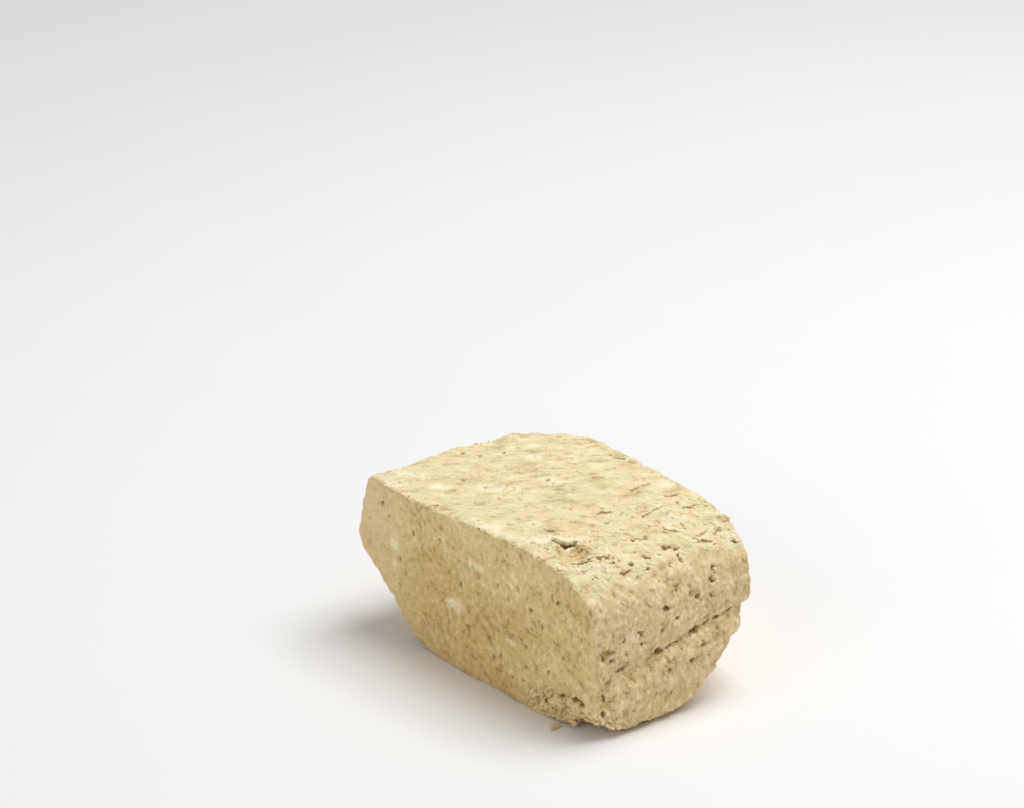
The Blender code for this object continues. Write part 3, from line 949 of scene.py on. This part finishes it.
class Nodes:
    """Short names for making a material's nodes."""

    def __init__(self, name, roughness):
        self.material = bpy.data.materials.new(name)
        self.material.use_nodes = True
        self.tree = self.material.node_tree
        self.surface = self.tree.nodes["Principled BSDF"]
        self.surface.inputs["Roughness"].default_value = roughness
        self.surface.inputs["Specular IOR Level"].default_value = 0.25
        self.place = self.new("TexCoord").outputs["Object"]

    def new(self, kind, **inputs):
        """A new node, with its inputs linked or set."""
        node = self.tree.nodes.new("ShaderNode" + kind)
        for name, value in inputs.items():
            self.link(value, node.inputs[name])
        return node

    def link(self, value, socket):
        """Links an output to a socket, or sets the socket to a number or a colour."""
        if isinstance(value, bpy.types.NodeSocket):
            self.tree.links.new(value, socket)
        else:
            socket.default_value = value

    def attribute(self, name):
        node = self.new("Attribute")
        node.attribute_name = name
        return node.outputs["Fac"]

    def along(self, axis):
        """The place along one of the frame's axes, in metres."""
        return self.new("SeparateXYZ", Vector=self.place).outputs[axis]

    def math(self, operation, *values):
        node = self.new("Math")
        node.operation = operation
        for value, socket in zip(values, node.inputs):
            self.link(value, socket)
        return node.outputs[0]

    def drawn_out(self, start, stretch=(1, 1, 1), turn=0.0):
        """The place, moved by the start, with patterns drawn out along each axis and turned about Z."""
        moved = {"Location": (start, start, start), "Rotation": (0, 0, turn), "Scale": stretch}
        node = self.new("Mapping", Vector=self.place, **moved)
        node.vector_type = "TEXTURE"
        return node.outputs[0]

    def noise(self, size, detail=2, roughness=0.55, place=None):
        scale = 1 / (size * MM)
        place = place or self.place
        node = self.new("TexNoise", Vector=place, Scale=scale, Detail=detail, Roughness=roughness)
        return node.outputs["Fac"]

    def strands(self, size, start, stretch):
        """Thin curly lines: 1 on them and 0 between them."""
        field = self.noise(size, 1, 0.5, self.drawn_out(start, stretch))
        off = self.math("ABSOLUTE", self.math("SUBTRACT", field, 0.5))
        return self.ramp(off, 0.05, 0.01)

    def ramp(self, value, low, high, first=0.0, last=1.0):
        """Goes smoothly from first to last as the value goes from low to high."""
        ends = {"From Min": low, "From Max": high, "To Min": first, "To Max": last}
        node = self.new("MapRange", Value=value, **ends)
        node.interpolation_type = "SMOOTHSTEP"
        return node.outputs["Result"]

    def mix(self, share, first, second):
        node = self.new("Mix")
        node.data_type = "RGBA"
        for value, name in ((share, 0), (first, 6), (second, 7)):
            self.link(value, node.inputs[name])
        return node.outputs[2]

    def tint(self, share, colour, by):
        """The colour, multiplied by another as far as the share says."""
        tinted = self.mix(share, colour, by)
        tinted.node.blend_type = "MULTIPLY"
        return tinted

    def mottle(self, tone, by_tone, field, contrast):
        """A shade from 0 to 1, from a noise that is sharpened and a tone that is added to it."""
        spread = self.math("MULTIPLY_ADD", field, contrast, 0.5 - contrast / 2)
        return self.math("MULTIPLY_ADD", tone, by_tone, spread)

    def shades(self, shade, colours):
        """From dark through middle to pale as the shade goes from 0 to 1."""
        dark, middle, pale = colours
        darker = self.mix(self.ramp(shade, 0.1, 0.5), dark, middle)
        return self.mix(self.ramp(shade, 0.5, 0.95), darker, pale)

    def bump(self, height, depth, strength=0.8):
        node = self.new("Bump", Height=height, Distance=depth * MM, Strength=strength)
        self.link(node.outputs["Normal"], self.surface.inputs["Normal"])

    def colour(self, value):
        self.link(value, self.surface.inputs["Base Color"])


def seen(red, green, blue):
    """A colour given as it looks on a screen, from 0 to 255."""
    channels = [value / 255 for value in (red, green, blue)]
    return [c / 12.92 if c < 0.04045 else ((c + 0.055) / 1.055) ** 2.4 for c in channels] + [1]


# Each side's dark, middle and pale shades, and the colours of its patches.
TOP_SHADES = (seen(208, 188, 142), seen(240, 223, 179), seen(253, 242, 208))
SIDE_SHADES = (seen(168, 142, 92), seen(225, 200, 149), seen(253, 236, 192))
CUT_SHADES = (seen(180, 151, 95), seen(230, 203, 146), seen(251, 232, 184))
CREAM = seen(252, 236, 190)
PALE = seen(253, 243, 210)
# OCHRE, RUST and OLIVE paint the shade in recesses; OCHRE is also the loose crumb's own colour.
OCHRE = seen(186, 156, 104)
RUST = seen(186, 148, 96)
RUSTY_TAN = seen(224, 186, 136)
RUSTY_BROWN = seen(206, 168, 108)
# Painted light: the cut is painted paler towards the bar's back.
PAINTED_LIGHT_AT_BACK = seen(238, 218, 170)
CRUMB_TAN = seen(226, 190, 132)
OLIVE = seen(136, 112, 64)
HUSK_DARK = seen(112, 92, 50)
HUSK_PALE = seen(160, 138, 88)

# What the patches multiply their side's colour by.
GREENISH = (0.90, 0.94, 0.87, 1)
ROSY = (1.0, 0.94, 0.92, 1)
TAN = (0.92, 0.84, 0.72, 1)
# BROWN darkens the cut's lower part: partly its own tone, partly painted shade.
BROWN = (0.90, 0.84, 0.76, 1)


def top_colour(n, tone):
    """Cream, in streaks that run with the grain, with grey-green and tan patches."""
    along = (GRAIN_STRETCH, 1, 1)
    shade = n.mottle(tone, 0.16, n.noise(3.2, 5, 0.72, n.drawn_out(0, along, GRAIN_TURN)), 2.2)
    green = n.noise(3, 3, 0.6, n.drawn_out(1, along, GRAIN_TURN))
    tan = n.noise(3, 3, 0.6, n.drawn_out(2, along, GRAIN_TURN))
    colour = n.shades(shade, TOP_SHADES)
    colour = n.tint(n.ramp(green, 0.46, 0.66, 0, 0.6), colour, GREENISH)
    return n.tint(n.ramp(tan, 0.48, 0.68, 0, 0.5), colour, TAN)


def side_colour(n, tone):
    """Beige, with rosy and grey-green patches and pale strands that stand upright."""
    shade = n.mottle(tone, 0.14, n.noise(2.6, 4, 0.7, n.drawn_out(3, (1, 1, 1.3))), 1.7)
    green = n.noise(4, 3, 0.6, n.drawn_out(4))
    rosy = n.noise(8, 3, 0.6, n.drawn_out(5))
    low = n.ramp(n.along("Z"), 0.024, 0.012)
    colour = n.shades(shade, SIDE_SHADES)
    colour = n.tint(n.math("MAXIMUM", low, n.ramp(rosy, 0.48, 0.66)), colour, ROSY)
    colour = n.tint(n.ramp(green, 0.48, 0.66, 0, 0.5), colour, GREENISH)
    return n.mix(n.math("MULTIPLY", n.strands(1.6, 9, (1, 1, 2.2)), 0.2), colour, PALE)


def cut_colour(n, tone):
    """Khaki, browner below, partly its own tone and partly painted shade, less so towards the cracked
    side, and painted paler towards the bar's back as painted light. With rosy and grey-green patches.
    """
    shade = n.mottle(tone, 0.12, n.noise(1.5, 4, 0.75, n.drawn_out(6)), 1.6)
    shade = n.math("ADD", shade, n.ramp(n.noise(6, 3, 0.6, n.drawn_out(10)), 0.3, 0.7, -0.12, 0.12))
    brown = n.noise(6, 4, 0.6, n.drawn_out(7))
    rosy = n.noise(9, 3, 0.6, n.drawn_out(8))
    # Browner below: partly the cut's own tone, partly painted shade, weaker towards the cracked side.
    low = n.ramp(n.math("MULTIPLY_ADD", brown, 0.03, n.along("Z")), 0.044, 0.035)
    low = n.math("MULTIPLY", low, n.ramp(n.along("X"), 0.010, 0.028, 1, 0.4))
    # The share painted paler towards the bar's back, as painted light.
    back = n.ramp(n.along("X"), -0.018, -0.040, 0, 0.5)
    colour = n.tint(low, n.shades(shade, CUT_SHADES), BROWN)
    colour = n.tint(n.ramp(rosy, 0.50, 0.64), colour, ROSY)
    colour = n.tint(n.ramp(brown, 0.50, 0.66, 0, 0.4), colour, GREENISH)
    return n.mix(back, colour, PAINTED_LIGHT_AT_BACK)


def halva_material():
    """The body's own: each side's colours and its patches, with painted shade in recesses, partly the
    specks' own colour, and a painted highlight on raised places.
    """
    n = Nodes("halva", 0.78)
    top, cut, tone, pale, rusty, sunk = (
        n.attribute(name) for name in ("top", "cut", "tone", "pale", "rusty", "sunk"))
    fine = n.noise(1.0, 3, 0.6)
    grit = n.noise(0.45, 2, 0.6)
    colour = n.mix(top, side_colour(n, tone), top_colour(n, tone))
    colour = n.mix(cut, colour, cut_colour(n, tone))
    # Pale patches, those on the hollow's near ridge a painted highlight.
    pale = n.math("MULTIPLY", pale, n.ramp(fine, 0.35, 0.6, 0.55, 1))
    palest = n.mix(cut, PALE, CREAM)
    colour = n.mix(pale, colour, palest)
    rusty_share = n.math("MULTIPLY", rusty, n.ramp(fine, 0.65, 0.4, 0.6, 0.95))
    colour = n.mix(rusty_share, colour, n.mix(top, RUSTY_BROWN, RUSTY_TAN))
    # Painted highlight on raised places.
    colour = n.mix(n.ramp(sunk, -0.06, -0.35, 0, 0.45), colour, palest)
    # Painted shade in recesses, rustier in rusty patches and olive where deepest; partly the specks' own
    # colour.
    colour = n.mix(n.ramp(sunk, 0.06, 0.30, 0, 0.7), colour, n.mix(rusty, OCHRE, RUST))
    colour = n.mix(n.ramp(sunk, 0.30, 1.05, 0, 0.85), colour, OLIVE)
    n.colour(colour)
    n.bump(n.math("MULTIPLY_ADD", grit, 0.4, fine), 0.05, 0.5)
    return n.material


def clinging_material(name, colouring, share=0.0, towards=PALE):
    """The small things that belong to a side have its own colours, each thing by its own tone."""
    n = Nodes(name, 0.76)
    n.colour(n.mix(share, colouring(n, n.attribute("tone")), towards))
    n.bump(n.noise(0.8, 3), 0.06)
    return n.material


def small_material(name, first, second, size=0.8):
    """One of the small things' materials: between two colours, each thing by its own tone."""
    n = Nodes(name, 0.75)
    tone = n.ramp(n.attribute("tone"), -1, 1)
    fine = n.noise(size, 3)
    colour = n.mix(n.ramp(n.math("MULTIPLY_ADD", fine, 0.8, tone), 0.3, 1.5), first, second)
    n.colour(n.mix(n.ramp(n.noise(size / 3, 2), 0.4, 0.25, 0, 0.4), colour, first))
    n.bump(fine, 0.06)
    return n.material


def paper_material():
    n = Nodes("paper", 0.9)
    n.colour(n.mix(n.noise(60, 2), (0.91, 0.91, 0.91, 1), (0.93, 0.93, 0.93, 1)))
    return n.material


# -------- studio

# The camera's place and turn, for a photograph of 1024 x 808.
AIM = Vector((0.45, -5.28, 20.0)) * MM
CAMERA_OFFSET = Vector((633.21, -526.64, 362.90)) * MM
CAMERA_TURN = (math.radians(68.740), 0, math.radians(50.947))
CAMERA_LENS = 136.2
CAMERA_SENSOR = 36
FLOOR_REACH = 4.0

# Each light: azimuth and elevation in degrees (0 is in front of the near cut, 90 faces the cracked
# side), distance, width and power.
LIGHTS = {
    "overhead": (165, 68, 1.0, 0.7, 8.0),
    "fill": (10, 22, 1.2, 0.8, 2.2),
}
SKY = 0.34


def make_camera():
    camera = added("camera", bpy.data.cameras.new("camera"))
    camera.location = AIM + CAMERA_OFFSET
    camera.rotation_euler = CAMERA_TURN
    camera.data.lens = CAMERA_LENS
    camera.data.sensor_width = CAMERA_SENSOR
    camera.data.clip_start = 0.01
    bpy.context.scene.camera = camera


def make_light(name, azimuth, elevation, distance, width, power):
    data = bpy.data.lights.new(name, "AREA")
    data.size = width
    data.energy = power
    light = added(name, data)
    turn = math.radians(azimuth)
    height = math.radians(elevation)
    level = math.cos(height)
    way = Vector((math.sin(turn) * level, -math.cos(turn) * level, math.sin(height)))
    light.location = AIM + way * distance
    light.rotation_euler = (-way).to_track_quat("-Z", "Y").to_euler()


def make_floor():
    mesh = bpy.data.meshes.new("floor")
    corners = [(x * FLOOR_REACH, y * FLOOR_REACH, 0) for x, y in ((-1, -1), (1, -1), (1, 1), (-1, 1))]
    mesh.from_pydata(corners, [], [(0, 1, 2, 3)])
    mesh.materials.append(paper_material())
    floor = added("floor", mesh)


def make_studio():
    scene = bpy.context.scene
    scene.view_settings.view_transform = "Standard"
    world = bpy.data.worlds.new("studio")
    world.use_nodes = True
    background = world.node_tree.nodes["Background"]
    background.inputs["Color"].default_value = (1, 1, 1, 1)
    background.inputs["Strength"].default_value = SKY
    scene.world = world
    for name, settings in LIGHTS.items():
        make_light(name, *settings)
    make_floor()


make_camera()
make_studio()
body = make_body(halva_material())
make_flakes(body, clinging_material("halva_flake", top_colour))
make_fibres(body, clinging_material("halva_fibre", side_colour, 0.35))
make_crumbs(body, clinging_material("halva_crumb", side_colour, 0.25, CRUMB_TAN))
make_loose_crumb(small_material("halva_loose_crumb", OCHRE, CREAM))
make_husks(body, small_material("halva_husk", HUSK_DARK, HUSK_PALE))
